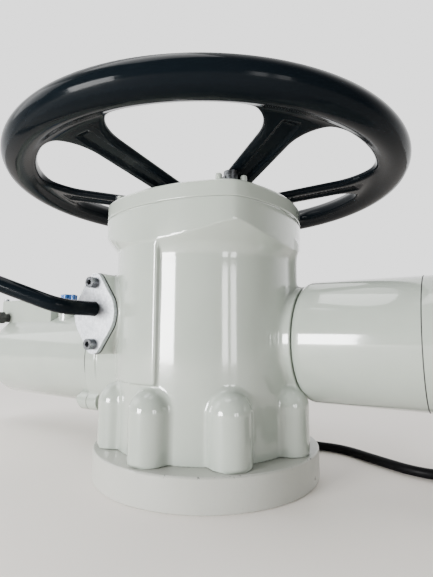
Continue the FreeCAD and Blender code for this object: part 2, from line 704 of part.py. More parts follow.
def worm_thread():
    """Trapezoid thread swept along a helix round the worm's core."""
    pitch = math.pi * module
    root = worm_pitch_radius - module * 1.05 - 0.6
    crest = worm_pitch_radius + module * 0.8
    helix = Part.makeHelix(pitch, pitch * 4.0, root)
    half_root, half_crest = pitch * 0.27, pitch * 0.13
    profile = Part.makePolygon([Vector(root, 0, -half_root), Vector(crest, 0, -half_crest),
                                Vector(crest, 0, half_crest), Vector(root, 0, half_root),
                                Vector(root, 0, -half_root)])
    thread = Part.Wire(helix).makePipeShell([Part.Wire(profile)], True, True)
    thread.translate(Vector(0, 0, -pitch * 2.0))
    thread.rotate(Vector(), Vector(0, 0, 1), 90.0)
    thread.rotate(Vector(), Vector(0, 1, 0), 90.0)
    thread.translate(Vector(0, size("worm_offset"), size("worm_height")))
    return thread


thread_part = solid("worm_thread", worm_thread())
sensor_disc = cyl("sensor_disc", 9.5, 5, 98, "worm_offset", "worm_height", "x")
keep("worm_shaft", fuse("worm_shaft", [worm_core, worm_rod, thread_part, sensor_disc] + worm_collars))

MOTOR_SCREW_CIRCLE = 67.0
flange_thickness = 13.0
motor_tube = cyl("motor_tube", "motor_radius", "motor_cap_face - motor_face", "-motor_cap_face",
                 "worm_offset", "worm_height", "x")
motor_flange = cyl("motor_flange", "motor_radius + 4", flange_thickness,
                   "-motor_face - %g" % flange_thickness,
                   "worm_offset", "worm_height", "x")
motor_lugs, lug_holes, motor_screw_list, neck_lugs = [], [], [], []
for i, angle in enumerate(around(4, 45)):
    y = "worm_offset + %g" % (MOTOR_SCREW_CIRCLE * math.cos(angle))
    z = "worm_height + %g" % (MOTOR_SCREW_CIRCLE * math.sin(angle))
    motor_lugs.append(cyl("motor_lug_%d" % i, 11, flange_thickness, "-motor_face - %g" % flange_thickness,
                          y, z, "x"))
    lug_holes.append(cyl("motor_lug_hole_%d" % i, 4.2, 30, "-motor_face - 20", y, z, "x"))
    motor_screw_list.append(socket_screw("motor_screw_%d" % i, 6.5, 8.0, 4.0, 28.0,
                                         "-motor_face - %g" % flange_thickness, y, z, "x", True))
    neck_lugs.append((i, y, z))
PLUG_X, PLUG_Y = -243.7, 29.3
motor_plug_boss = cyl("motor_plug_boss", 13, 37, PLUG_X, PLUG_Y, "worm_height + 26")
motor_solid = fuse("motor_solid", [motor_tube, motor_flange, motor_plug_boss] + motor_lugs)
motor_bore = cyl("motor_bore", "motor_radius - motor_wall", "motor_cap_face - motor_face - 10",
                 "-motor_cap_face", "worm_offset", "worm_height", "x")
motor_front_hole = cyl("motor_front_hole", 20, 60, "-motor_face - 30", "worm_offset", "worm_height", "x")
plug_thread = cyl("plug_thread", 6.1, 40, PLUG_X, PLUG_Y, "worm_height + 47")
keep("motor_housing",
     cut("motor_housing", motor_solid, [motor_bore, motor_front_hole, plug_thread] + lug_holes))

# The neck's matching lugs belong to the gear case.
case_lugs, case_lug_holes = [parts["gear_case"]], []
for i, y, z in neck_lugs:
    case_lugs.append(cyl("case_lug_%d" % i, 11, 16, "-motor_face", y, z, "x"))
    case_lug_holes.append(cyl("case_lug_hole_%d" % i, 4.1, 17, "-motor_face - 1", y, z, "x"))
flange_well = cyl("flange_well", 36, 30, "-motor_face - 1", "worm_offset", "worm_height", "x")
parts["gear_case"].Label = "gear_case_body"
keep("gear_case",
     cut("gear_case_with_lugs", fuse("gear_case_lugged", case_lugs), case_lug_holes + [flange_well]))
keep("motor_screws", fuse("motor_screws", motor_screw_list))

cap_blank = rounded("motor_cap_round",
                    cyl("motor_cap_blank", "motor_radius", "motor_end - motor_cap_face", "-motor_end",
                                           "worm_offset", "worm_height", "x"), 28.0,
                    circle_at("x", -size("motor_end"), size("motor_radius")))
cap_cuts = [cyl("cap_recess", "motor_radius - motor_wall - 12", 28, "-motor_cap_face - 28", "worm_offset",
                "worm_height", "x")]
keep("motor_end_cap", cut("motor_end_cap", cap_blank, cap_cuts))

keep("motor_stator",
     ring("motor_stator", "motor_radius - motor_wall", 31, 120, -322, "worm_offset", "worm_height", "x"))
rotor_body = cyl("rotor_body", 30.2, 124, -324, "worm_offset", "worm_height", "x")
rotor_ends = [cyl("rotor_end_%d" % i, 24, 8, start, "worm_offset", "worm_height", "x") for i,
              start in enumerate((-332, -200))]
keep("motor_rotor", cut("motor_rotor", fuse("rotor_solid", [rotor_body] + rotor_ends),
                        [cyl("rotor_bore", "shaft_radius", 160, -345, "worm_offset", "worm_height", "x")]))
keep("motor_bearing_plate",
     ring("motor_bearing_plate", "motor_radius - motor_wall", "shaft_radius + 0.08", 11, -344,
                                 "worm_offset", "worm_height", "x"))

# Saddle box for the motor's wiring, on top of the motor.
saddle = box("motor_box_block", 113, 85, 38, -375, "worm_offset - 35", "worm_height + 36")
saddle_inside = box("motor_box_inside", 103, 71, 26, -370, "worm_offset - 28", "worm_height + 62")
saddle_way = cyl("saddle_way", "motor_radius", 135, -390, "worm_offset", "worm_height", "x")
box_lid = box("motor_box_lid", 113, 85, 4, -375, "worm_offset - 35", "worm_height + 74")
lid_screws, lid_holes, lid_threads = [], [], []
for i, (x, y) in enumerate(((-371, 18.6), (-266, 18.6), (-371, 96.4), (-266, 96.4))):
    lid_screws.append(socket_screw("lid_screw_%d" % i, 3.4, 3.2, 1.6, 12, x, y, "worm_height + 78"))
    lid_holes.append(cyl("lid_hole_%d" % i, 1.8, 6, x, y, "worm_height + 73"))
    lid_threads.append(cyl("lid_thread_%d" % i, 1.65, 14, x, y, "worm_height + 61"))
keep("motor_terminal_box", cut("motor_terminal_box", saddle, [saddle_inside, saddle_way] + lid_threads))
keep("motor_box_cover", cut("motor_box_cover", box_lid, lid_holes))
keep("motor_box_screws", fuse("motor_box_screws", lid_screws))

fitting = fuse("conduit_fitting", [
    cyl("fitting_thread", 6.0, 12, -360, "worm_offset - 47", "worm_height + 52.8", "y"),
    prism("fitting_hex", 6, 9.5, 9, -360, "worm_offset - 52", "worm_height + 52.8", "y"),
    cyl("fitting_nose", 7.0, 8, -360, "worm_offset - 59", "worm_height + 52.8", "y")])
keep("conduit_fitting", fitting)

plug_parts = [cyl("plug_stem", 6.0, 12, PLUG_X, PLUG_Y, "worm_height + 57"),
              cyl("plug_head", 8.0, 20, PLUG_X, PLUG_Y, "worm_height + 63")]
for i, angle in enumerate(around(5)):
    plug_parts.append(cyl("plug_lobe_%d" % i, 3.2, 20, PLUG_X + 8 * math.cos(angle),
                          PLUG_Y + 8 * math.sin(angle), "worm_height + 63"))
keep("filler_plug", fuse("filler_plug", plug_parts))

# ---------------------------------------------------------------- declutch lever

rod = size("lever_rod_radius")
lift = math.radians(size("lever_rise"))
splay = math.radians(size("lever_splay"))
arm_direction = Vector(-math.cos(splay) * math.cos(lift), -math.sin(splay) * math.cos(lift), math.sin(lift))
arm_bend = Vector(-size("lever_x"), -size("lever_bend_y"), size("lever_z"))


def bent_rod():
    """The rod: straight out along -Y, then one bend towards the motor, rising and leaning outwards."""
    start = Vector(-size("lever_x"), BOSS_FACE + 6, size("lever_z"))
    radius = 24.0
    half_turn = 0.5 * math.acos(-arm_direction.y)
    reach = radius * math.tan(half_turn)
    before = arm_bend + Vector(0, reach, 0)
    after = arm_bend + arm_direction * reach
    inward = (Vector(0, 1, 0) + arm_direction).normalize()
    middle = arm_bend + inward * (radius / math.cos(half_turn) - radius)
    end = arm_bend + arm_direction * size("lever_arm")
    path = Part.Wire([Part.makeLine(start, before), Part.Arc(before, middle, after).toShape(),
                      Part.makeLine(after, end)])
    section = Part.Wire(Part.makeCircle(rod, start, Vector(0, -1, 0)))
    return path.makePipeShell([section], True, False)


rod_part = solid("lever_rod", bent_rod())
lever_shaft = cyl("lever_shaft", 7.0, 98, "-lever_x", BOSS_FACE, "lever_z", "y")
keep("declutch_lever", fuse("declutch_lever", [rod_part, lever_shaft]))

lever_tip = arm_bend + arm_direction * size("lever_arm")
grip_length = 62.0
grip_start = lever_tip - arm_direction * (grip_length - 4)
grip_turn = Rotation(Vector(0, 0, 1), arm_direction)
grip_body = cyl("grip_body", "lever_rod_radius + 3.5", grip_length, grip_start.x, grip_start.y,
                grip_start.z, grip_turn)
grip_bore = cyl("grip_bore", "lever_rod_radius", grip_length - 4, grip_start.x, grip_start.y, grip_start.z,
                grip_turn)
keep("lever_grip", cut("lever_grip", grip_body, [grip_bore]))

fork_hub = cyl("fork_hub", 12.5, 24, "-lever_x", -12, "lever_z", "y")
fork_arm = box("fork_arm", "lever_x - 46", 20, 12, "-lever_x", -10, "lever_z - 6")
fork_beam = box("fork_beam", 4.5, 100, 12, -50, -50, "lever_z - 6")
prongs, pins = [], []
for i, side in enumerate((-1, 1)):
    prongs.append(box("fork_prong_%d" % i, 56, 4.5, 12, -50, 45.5 if side > 0 else -50, "lever_z - 6"))
    pins.append(cyl("fork_pin_%d" % i, 3.5, 5.5, 0, 40.7 if side > 0 else -46.2, "lever_z", "y"))
keep("clutch_fork", cut("clutch_fork", fuse("fork_solid", [fork_hub, fork_arm, fork_beam] + prongs + pins),
                        [cyl("fork_bore", 7.0, 40, "-lever_x", -20, "lever_z", "y")]))

spring_turns = 4
spring_pitch = 4.2
spring_helix = Part.makeHelix(spring_pitch, spring_pitch * spring_turns, 10.2)
spring_section = Part.Wire(Part.makeCircle(1.3, Vector(10.2, 0, 0), Vector(0, 1, 0)))
spring_shape = Part.Wire(spring_helix).makePipeShell([spring_section], True, True)
spring_shape.rotate(Vector(), Vector(1, 0, 0), -90)
spring_shape.translate(Vector(-size("lever_x"), BOSS_FACE + 12, size("lever_z")))
keep("lever_spring", solid("lever_spring", spring_shape))

plate_back = BOSS_FACE - 1.0
plate_front = plate_back - size("plate_thickness")
gasket_blank = lozenge("gasket_blank", plate_back, BOSS_FACE, 0.4)
plate_blank = lozenge("plate_blank", plate_front, plate_back, 0.0)
gasket_cuts = [cyl("gasket_hole", 8, 3, "-lever_x", BOSS_FACE - 2, "lever_z", "y")]
plate_cuts = [cyl("plate_hole", 7.0, 8, "-lever_x", plate_front - 1, "lever_z", "y")]
plate_screw_list = []
for i, side in enumerate((-1, 1)):
    z = "plate_z + %d * plate_screw_offset" % side
    gasket_cuts.append(cyl("gasket_screw_hole_%d" % i, 3.2, 3, "-lever_x", BOSS_FACE - 2, z, "y"))
    plate_cuts.append(cyl("plate_screw_hole_%d" % i, 3.2, 8, "-lever_x", plate_front - 1, z, "y"))
    plate_screw_list.append(socket_screw("plate_screw_%d" % i, 5.0, 6.6, 3.0, 18.0, "-lever_x", plate_front,
                                         z, "y", True))
keep("lever_gasket", cut("lever_gasket", gasket_blank, gasket_cuts))
keep("lever_plate", cut("lever_plate", plate_blank, plate_cuts))
keep("lever_plate_screws", fuse("lever_plate_screws", plate_screw_list))
keep("lever_seal", ring("lever_seal", 13, 7.1, 6, "-lever_x", BOSS_FACE, "lever_z", "y"))

# ---------------------------------------------------------------- control housing

control_y, control_z = "control_y", "control_z"
barrel = cyl("control_barrel", "control_radius", "control_seam - control_start", "control_start", control_y,
             control_z, "x")
barrel_round = rounded("control_barrel_round", barrel, 10.0,
                       circle_at("x", size("control_start"), size("control_radius")))
barrel_inside = cyl("control_inside", "control_radius - control_wall", "control_seam - control_start - 8",
                    "control_start + 8", control_y, control_z, "x")
barrel_way = box("control_wire_way", 12, 26, 26, "control_start - 1", "control_y - 16", "control_z - 2")
barrel_shaft_hole = cyl("control_shaft_hole", 12, 20, "control_start - 4", "worm_offset", "worm_height",
                        "x")
CONTROL_SCREW_CIRCLE = 48.0
control_lugs, control_holes, cover_lugs, cover_notches, control_screw_list = [], [], [], [], []
for i, angle in enumerate(around(4, 45)):
    y = "control_y + %g" % (CONTROL_SCREW_CIRCLE * math.cos(angle))
    z = "control_z + %g" % (CONTROL_SCREW_CIRCLE * math.sin(angle))
    control_lugs.append(cyl("control_lug_%d" % i, 8, 26, "control_seam - 26", y, z, "x"))
    control_holes.append(cyl("control_lug_hole_%d" % i, 3.1, 20, "control_seam - 20", y, z, "x"))
    cover_lugs.append(cyl("cover_end_lug_%d" % i, 11, "control_end - control_seam - 2", "control_seam", y,
                          z, "x"))
    cover_notches.append(cyl("cover_end_hole_%d" % i, 3.3, 16, "control_seam - 1", y, z, "x"))
    cover_notches.append(cyl("cover_notch_%d" % i, 8, 60, "control_seam + 9", y, z, "x"))
    control_screw_list.append(socket_screw("control_screw_%d" % i, 5.0, 6.0, 3.0, 24.0, "control_seam + 9",
                                           y, z, "x"))
control_limit = cyl("control_limit", "control_radius - 1", 200, "control_start", control_y, control_z, "x")
inner_lugs = common("control_inner_lugs", [fuse("control_lug_set", control_lugs), control_limit])
shell = cut("control_shell", barrel_round, [barrel_inside, barrel_way, barrel_shaft_hole])
keep("control_housing", cut("control_housing", fuse("control_solid", [shell, inner_lugs]), control_holes))
cover_barrel = rounded("control_cover_round",
                       cyl("control_cover_blank", "control_radius", "control_end - control_seam",
                                                  "control_seam", control_y, control_z, "x"), 9.0,
                       circle_at("x", size("control_end"), size("control_radius")))
cover_inside = cyl("control_cover_inside", "control_radius - control_wall",
                   "control_end - control_seam - 6",
                   "control_seam", control_y, control_z, "x")
cover_limit = cyl("control_cover_limit", "control_radius - 1", 200, "control_start", control_y, control_z,
                  "x")
cover_inner_lugs = common("control_cover_lugs", [fuse("control_cover_lug_set", cover_lugs), cover_limit])
window_hole = cyl("window_hole", 24, 20, "control_end - 10", control_y, "control_z + 14", "x")
knob_spots = (("mode_selector", -15.5), ("open_close_selector", 15.5))
knob_bores = [cyl(name + "_bore", 4.1, 20, "control_end - 10", "control_y + %g" % shift, "control_z - 27",
                  "x")
              for name, shift in knob_spots]
cover_shell = cut("control_cover_shell", cover_barrel, [cover_inside])
keep("control_cover", cut("control_cover", fuse("control_cover_solid", [cover_shell, cover_inner_lugs]),
                          [window_hole] + knob_bores + cover_notches))
keep("control_cover_screws", fuse("control_cover_screws", control_screw_list))
keep("display_window", cyl("display_window", 24, 5, "control_end - 5", control_y, "control_z + 14", "x"))
for name, shift in knob_spots:
    y = "control_y + %g" % shift
    stem = cyl(name + "_stem", 4.0, 17, "control_end - 14", y, "control_z - 27", "x")
    dial = cyl(name + "_dial", 11.0, 6, "control_end + 0.4", y, "control_z - 27", "x")
    bar = box(name + "_bar", 8, 6, 21, "control_end + 6", "control_y + %g - 3" % shift, "control_z - 37.5")
    keep(name, fuse(name, [stem, dial, bar]))

board_plate = box("board_plate", 2, 70, 44, "control_seam - 6", "control_y - 35", "control_z - 20")
board_chips = [box("board_chip_%d" % i, 5, 14, 10, "control_seam - 11", "control_y + %g" % shift,
                   "control_z - 4")
               for i, shift in enumerate((-28, -7, 14))]
board_posts = [cyl("board_post_%d" % i, 3, "control_seam - 6 - control_start - 8", "control_start + 8",
                   "control_y + %g" % y, "control_z + %g" % z, "x")
               for i, (y, z) in enumerate(((-30, 20), (30, 20), (-30, -16), (30, -16)))]
keep("control_board", fuse("control_board", [board_plate] + board_chips + board_posts))

# ---------------------------------------------------------------- terminal box and supply cable

tx, tz = "-terminal_x", "terminal_z"
terminal_blank = cyl("terminal_blank", "terminal_radius", "terminal_seam - 96", tx, 96, tz, "y")
gland_boss = cyl("gland_boss", 13, "40", tx, "gland_y", "terminal_z - terminal_radius - 6")
terminal_inside = cyl("terminal_inside", "terminal_radius - 5", "terminal_seam - 102", tx, 102, tz, "y")
terminal_way = cyl("terminal_way", 12, 12, tx, 93, tz, "y")
gland_thread = cyl("gland_thread", 8.1, 24, tx, "gland_y", "terminal_z - terminal_radius - 7")
keep("terminal_box", cut("terminal_box", fuse("terminal_solid", [terminal_blank, gland_boss]),
                         [terminal_inside, terminal_way, gland_thread]))
lid_blank = rounded("terminal_lid_round",
                    cyl("terminal_lid_blank", "terminal_radius", "terminal_end - terminal_seam",
                                              tx, "terminal_seam", tz, "y"), 4.0,
                    circle_at("y", size("terminal_end"), size("terminal_radius")))
lid_cuts = [cyl("terminal_lid_inside", "terminal_radius - 5", "terminal_end - terminal_seam - 5", tx,
                "terminal_seam", tz, "y")]
terminal_screw_list = []
for i, angle in enumerate(around(4, 45)):
    x = "-terminal_x + %g" % (31.0 * math.cos(angle))
    z = "terminal_z + %g" % (31.0 * math.sin(angle))
    lid_cuts.append(cyl("terminal_screw_hole_%d" % i, 2.7, 20, x, "terminal_end - 18", z, "y"))
    terminal_screw_list.append(socket_screw("terminal_screw_%d" % i, 4.2, 5.0, 2.5, 10.0, x, "terminal_end",
                                            z, "y"))
keep("terminal_cover", cut("terminal_cover", lid_blank, lid_cuts))
keep("terminal_cover_screws", fuse("terminal_cover_screws", terminal_screw_list))
block_bar = box("terminal_block_bar", 46, 12, 20, "-terminal_x - 23", 102, "terminal_z + 2")
block_studs = [cyl("terminal_stud_%d" % i, 2.2, 5, "-terminal_x + %g" % (-16 + 8 * i), 114,
                   "terminal_z + 12", "y")
               for i in range(5)]
keep("terminal_block", fuse("terminal_block", [block_bar] + block_studs))

gland_top = size("terminal_z") - size("terminal_radius") - 6.0
gland_parts = [cyl("gland_stem", 8.0, 10, tx, "gland_y", gland_top - 1),
               prism("gland_hex", 6, 13.0, 7, tx, "gland_y", gland_top - 7),
               cone("gland_dome", 8.0, 11.0, 12, tx, "gland_y", gland_top - 18)]
keep("cable_gland", cut("cable_gland", fuse("gland_solid", gland_parts),
                        [cyl("gland_bore", "cable_radius", 40, tx, "gland_y", gland_top - 20)]))

# The supply cable drops from the gland, lies on the floor behind the base and runs out to a coil.
cable_radius = size("cable_radius")
CABLE_ROUTE = [
    (-15.0, 118.0, 104.0), (-15.0, 118.0, 62.0), (8.0, 119.5, 22.0), (56.0, 112.0, 4.6), (98.0, 118.0, 4.6),
    (137.0, 95.0, 4.6), (183.0, 72.0, 4.6), (228.0, 92.5, 4.6), (251.5, 107.2, 4.6),
]


def cable_tube(route, radius):
    """Straight runs joined by the largest tangent arcs that they allow."""
    points = [Vector(*spot) for spot in route]
    edges, smallest = [], None
    last = points[0]
    for before, corner, after in zip(points, points[1:], points[2:]):
        inward = (corner - before)
        outward = (after - corner)
        shorter = min(inward.Length, outward.Length)
        inward.normalize()
        outward.normalize()
        turn = inward.getAngle(outward)
        bend = 0.45 * shorter / math.tan(turn / 2.0)
        smallest = bend if smallest is None else min(smallest, bend)
        start = corner - inward * (0.45 * shorter)
        end = corner + outward * (0.45 * shorter)
        bisector = (outward - inward).normalize()
        centre = corner + bisector * (bend / math.cos(turn / 2.0))
        middle = centre + (corner - centre).normalize() * bend
        edges.append(Part.makeLine(last, start))
        edges.append(Part.Arc(start, middle, end).toShape())
        last = end
    edges.append(Part.makeLine(last, points[-1]))
    path = Part.Wire(edges)
    first = (points[1] - points[0]).normalize()
    section = Part.Wire(Part.makeCircle(radius, points[0], first))
    tube = path.makePipeShell([section], True, False)
    expected = math.pi * radius ** 2 * path.Length
    print("cable: length %.1f, smallest bend %.1f, volume %.1f of %.1f" % (path.Length, smallest,
                                                                           tube.Volume, expected))
    return tube


keep("supply_cable", solid("supply_cable", cable_tube(CABLE_ROUTE, cable_radius)))

# Flat coil that the last run enters at a tangent, then the plug lying beyond it.
COIL_CENTRE = (281.0, 62.0)
COIL_MIDDLE = 49.5
coil_half_width = 2.0 * cable_radius
coil_height = 6.0 * cable_radius
coil_outer = cyl("coil_outer", COIL_MIDDLE + coil_half_width, coil_height, COIL_CENTRE[0], COIL_CENTRE[1],
                 0.1)
coil_inner = cyl("coil_inner", COIL_MIDDLE - coil_half_width, coil_height, COIL_CENTRE[0], COIL_CENTRE[1],
                 0.1)
keep("cable_coil", cut("cable_coil", coil_outer, [coil_inner]))
plug_x = COIL_CENTRE[0] + COIL_MIDDLE
plug_y = COIL_CENTRE[1] - 80.0
plug_barrel = cyl("plug_barrel", 12, 52, plug_x, plug_y, 15.6, "y")
plug_collar = cyl("plug_collar", 15.5, 14, plug_x, plug_y, 15.6, "y")
keep("cable_plug", fuse("cable_plug", [plug_barrel, plug_collar]))

# ---------------------------------------------------------------- check and export

doc.recompute()
os.makedirs("parts", exist_ok=True)
for old in os.listdir("parts"):
    os.remove(os.path.join("parts", old))
problems = []
for label, thing in parts.items():
    state = list(thing.State)
    shape = thing.Shape
    if "Invalid" in state or "Error" in state:
        problems.append("%s did not recompute: %s" % (label, state))
    elif shape.isNull() or not shape.isValid():
        problems.append("%s has no valid shape" % label)
    elif shape.Volume <= 0 or not shape.Solids:
        problems.append("%s is not a solid" % label)
    else:
        shape.exportStep("parts/%s.step" % label)
        print("%-28s solids %2d volume %10.1f" % (label, len(shape.Solids), shape.Volume))
print("sub-parts:", len(parts))
if problems:
    raise RuntimeError("; ".join(problems))
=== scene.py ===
import json
import math

import bmesh
import bpy
import numpy as np
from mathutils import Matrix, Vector


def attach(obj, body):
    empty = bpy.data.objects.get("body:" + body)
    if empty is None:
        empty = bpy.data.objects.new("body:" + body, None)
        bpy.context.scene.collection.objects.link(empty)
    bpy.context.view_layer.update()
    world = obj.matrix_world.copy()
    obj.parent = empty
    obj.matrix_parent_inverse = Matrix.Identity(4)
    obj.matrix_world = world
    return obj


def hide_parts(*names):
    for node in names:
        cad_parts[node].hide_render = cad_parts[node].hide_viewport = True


# Motorized valve actuator. Metres, Z up, origin at the centre of the mounting face.
# The control housing points to +X, the motor to -X and the declutch lever to -Y.

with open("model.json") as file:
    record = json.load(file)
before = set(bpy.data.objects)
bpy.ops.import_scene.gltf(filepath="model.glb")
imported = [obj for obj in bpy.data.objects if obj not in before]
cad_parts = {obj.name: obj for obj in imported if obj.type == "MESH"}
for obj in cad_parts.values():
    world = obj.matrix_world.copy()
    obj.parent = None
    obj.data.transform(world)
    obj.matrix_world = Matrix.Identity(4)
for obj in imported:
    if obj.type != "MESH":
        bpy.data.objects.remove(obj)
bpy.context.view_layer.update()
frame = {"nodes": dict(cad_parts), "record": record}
NODES = frame["nodes"]

MM = 0.001


# ---------------------------------------------------------------- materials

def shader(name):
    """A new material, its node tree and its principled shader."""
    mat = bpy.data.materials.new(name)
    mat.use_nodes = True
    tree = mat.node_tree
    return mat, tree, tree.nodes["Principled BSDF"]


def set_inputs(node, **values):
    """Socket values by name, with an underscore for a space."""
    for key, value in values.items():
        node.inputs[key.replace("_", " ")].default_value = value


def add(tree, kind, **settings):
    """A new node with its settings."""
    node = tree.nodes.new(kind)
    for key, value in settings.items():
        setattr(node, key, value)
    return node


def noise(tree, scale, detail=3.0, rough=0.5, stretch=(1, 1, 1)):
    """Noise over the object's own coordinates, which are metres here."""
    place = add(tree, "ShaderNodeTexCoord")
    mapping = add(tree, "ShaderNodeMapping")
    mapping.inputs["Scale"].default_value = stretch
    tree.links.new(place.outputs["Object"], mapping.inputs["Vector"])
    node = add(tree, "ShaderNodeTexNoise")
    set_inputs(node, Scale=scale, Detail=detail, Roughness=rough)
    tree.links.new(mapping.outputs["Vector"], node.inputs["Vector"])
    return node.outputs["Fac"]


def as_colour(value):
    """A colour as it is, or a grey from one number."""
    return value if isinstance(value, tuple) else (value, value, value, 1)


def ramp(tree, value, stops):
    """A colour ramp over a value: stops are (place, colour or grey)."""
    node = add(tree, "ShaderNodeValToRGB")
    tree.links.new(value, node.inputs["Fac"])
    marks = node.color_ramp.elements
    while len(marks) < len(stops):
        marks.new(0.5)
    for mark, (place, colour) in zip(marks, stops):
        mark.position = place
        mark.color = as_colour(colour)
    return node.outputs["Color"]


def mix(tree, first, second, factor, blend="MIX"):
    """A colour mix of sockets, colours or greys, by a socket or a number."""
    node = add(tree, "ShaderNodeMix", data_type="RGBA", blend_type=blend)
    factor_socket, first_socket, second_socket = node.inputs[0], node.inputs[6], node.inputs[7]
    for socket, value in ((first_socket, first), (second_socket, second), (factor_socket, factor)):
        if isinstance(value, bpy.types.NodeSocket):
            tree.links.new(value, socket)
        else:
            socket.default_value = value if socket == factor_socket else as_colour(value)
    return node.outputs[2]


def bump(tree, principled, height, strength, distance):
    """A bump of a height texture, linked to the shader's normal."""
    node = add(tree, "ShaderNodeBump")
    node.inputs["Strength"].default_value = strength
    node.inputs["Distance"].default_value = distance
    tree.links.new(height, node.inputs["Height"])
    tree.links.new(node.outputs["Normal"], principled.inputs["Normal"])


RIM_HEIGHT = (0.0236, 0.0262)
RIM_REACH = (0.1058, 0.1068)
CHIP_COLOUR = (0.06, 0.06, 0.055, 1)


def chipped(tree, base, chips):
    """Small dark chips in the base colour, only along the base disc's upper rim."""
    patch = ramp(tree, noise(tree, 260, 4, 0.7), [(0.60, 0.0), (0.63, 1.0)])
    place = add(tree, "ShaderNodeTexCoord")
    split = add(tree, "ShaderNodeSeparateXYZ")
    tree.links.new(place.outputs["Object"], split.inputs[0])
    band = add(tree, "ShaderNodeMapRange")
    set_inputs(band, From_Min=RIM_HEIGHT[0], From_Max=RIM_HEIGHT[1], To_Min=0.0, To_Max=chips)
    tree.links.new(split.outputs["Z"], band.inputs["Value"])
    reach = add(tree, "ShaderNodeVectorMath", operation="LENGTH")
    tree.links.new(place.outputs["Object"], reach.inputs[0])
    outer = add(tree, "ShaderNodeMapRange")
    set_inputs(outer, From_Min=RIM_REACH[0], From_Max=RIM_REACH[1])
    tree.links.new(reach.outputs["Value"], outer.inputs["Value"])
    edge = mix(tree, band.outputs["Result"], outer.outputs["Result"], 1.0, "MULTIPLY")
    return mix(tree, base, CHIP_COLOUR, mix(tree, patch, edge, 1.0, "MULTIPLY"))


def paint(name, colour, shade, rough, peel, coat, chips=0.0, level=0.5):
    """Sprayed enamel: uneven gloss, orange peel, faint dirt, and chips where asked."""
    mat, tree, principled = shader(name)
    cloud = ramp(tree, noise(tree, 22, 5), [(0.35, 0.0), (0.7, 1.0)])
    base = mix(tree, colour, shade, cloud)
    if chips:
        base = chipped(tree, base, chips)
    tree.links.new(base, principled.inputs["Base Color"])
    gloss = ramp(tree, noise(tree, 60, 4), [(0.3, rough * 0.75), (0.75, rough * 1.3)])
    tree.links.new(gloss, principled.inputs["Roughness"])
    set_inputs(principled, Coat_Weight=coat, Coat_Roughness=0.06, IOR=1.5, Specular_IOR_Level=level)
    bump(tree, principled, noise(tree, 260, 2), peel, 0.0006)
    return mat


def metal(name, colour, dark, rough, grain, stretch=(1, 1, 1), strength=0.1, spots=130):
    """Bare or plated metal: mottled tone, uneven gloss, fine grain."""
    mat, tree, principled = shader(name)
    mottle = ramp(tree, noise(tree, spots, 6, 0.65), [(0.35, 0.0), (0.68, 1.0)])
    tree.links.new(mix(tree, colour, dark, mottle), principled.inputs["Base Color"])
    grained = noise(tree, grain, 3, 0.6, stretch)
    streaks = ramp(tree, grained, [(0.25, rough * 0.7), (0.8, rough * 1.5)])
    tree.links.new(streaks, principled.inputs["Roughness"])
    set_inputs(principled, Metallic=1.0)
    bump(tree, principled, noise(tree, grain * 1.7, 3, 0.6, stretch), strength, 0.0003)
    return mat


def plastic(name, colour, shade, rough, grain=900, strength=0.15, level=0.5):
    """Moulded plastic or rubber: fine grain and slight patches of wear."""
    mat, tree, principled = shader(name)
    cloud = ramp(tree, noise(tree, 90, 4), [(0.35, 0.0), (0.7, 1.0)])
    tree.links.new(mix(tree, colour, shade, cloud), principled.inputs["Base Color"])
    gloss = ramp(tree, noise(tree, 150, 4), [(0.3, rough * 0.8), (0.75, rough * 1.25)])
    tree.links.new(gloss, principled.inputs["Roughness"])
    set_inputs(principled, Specular_IOR_Level=level)
    bump(tree, principled, noise(tree, grain, 2), strength, 0.0004)
    return mat


def glass(name):
    """Dark tinted glass over a display."""
    mat, tree, principled = shader(name)
    cloud = ramp(tree, noise(tree, 60, 3), [(0.3, (0.010, 0.014, 0.016, 1)),
                                            (0.8, (0.020, 0.028, 0.030, 1))])
    tree.links.new(cloud, principled.inputs["Base Color"])
    set_inputs(principled, Roughness=0.05, Coat_Weight=1.0, Coat_Roughness=0.02)
    return mat


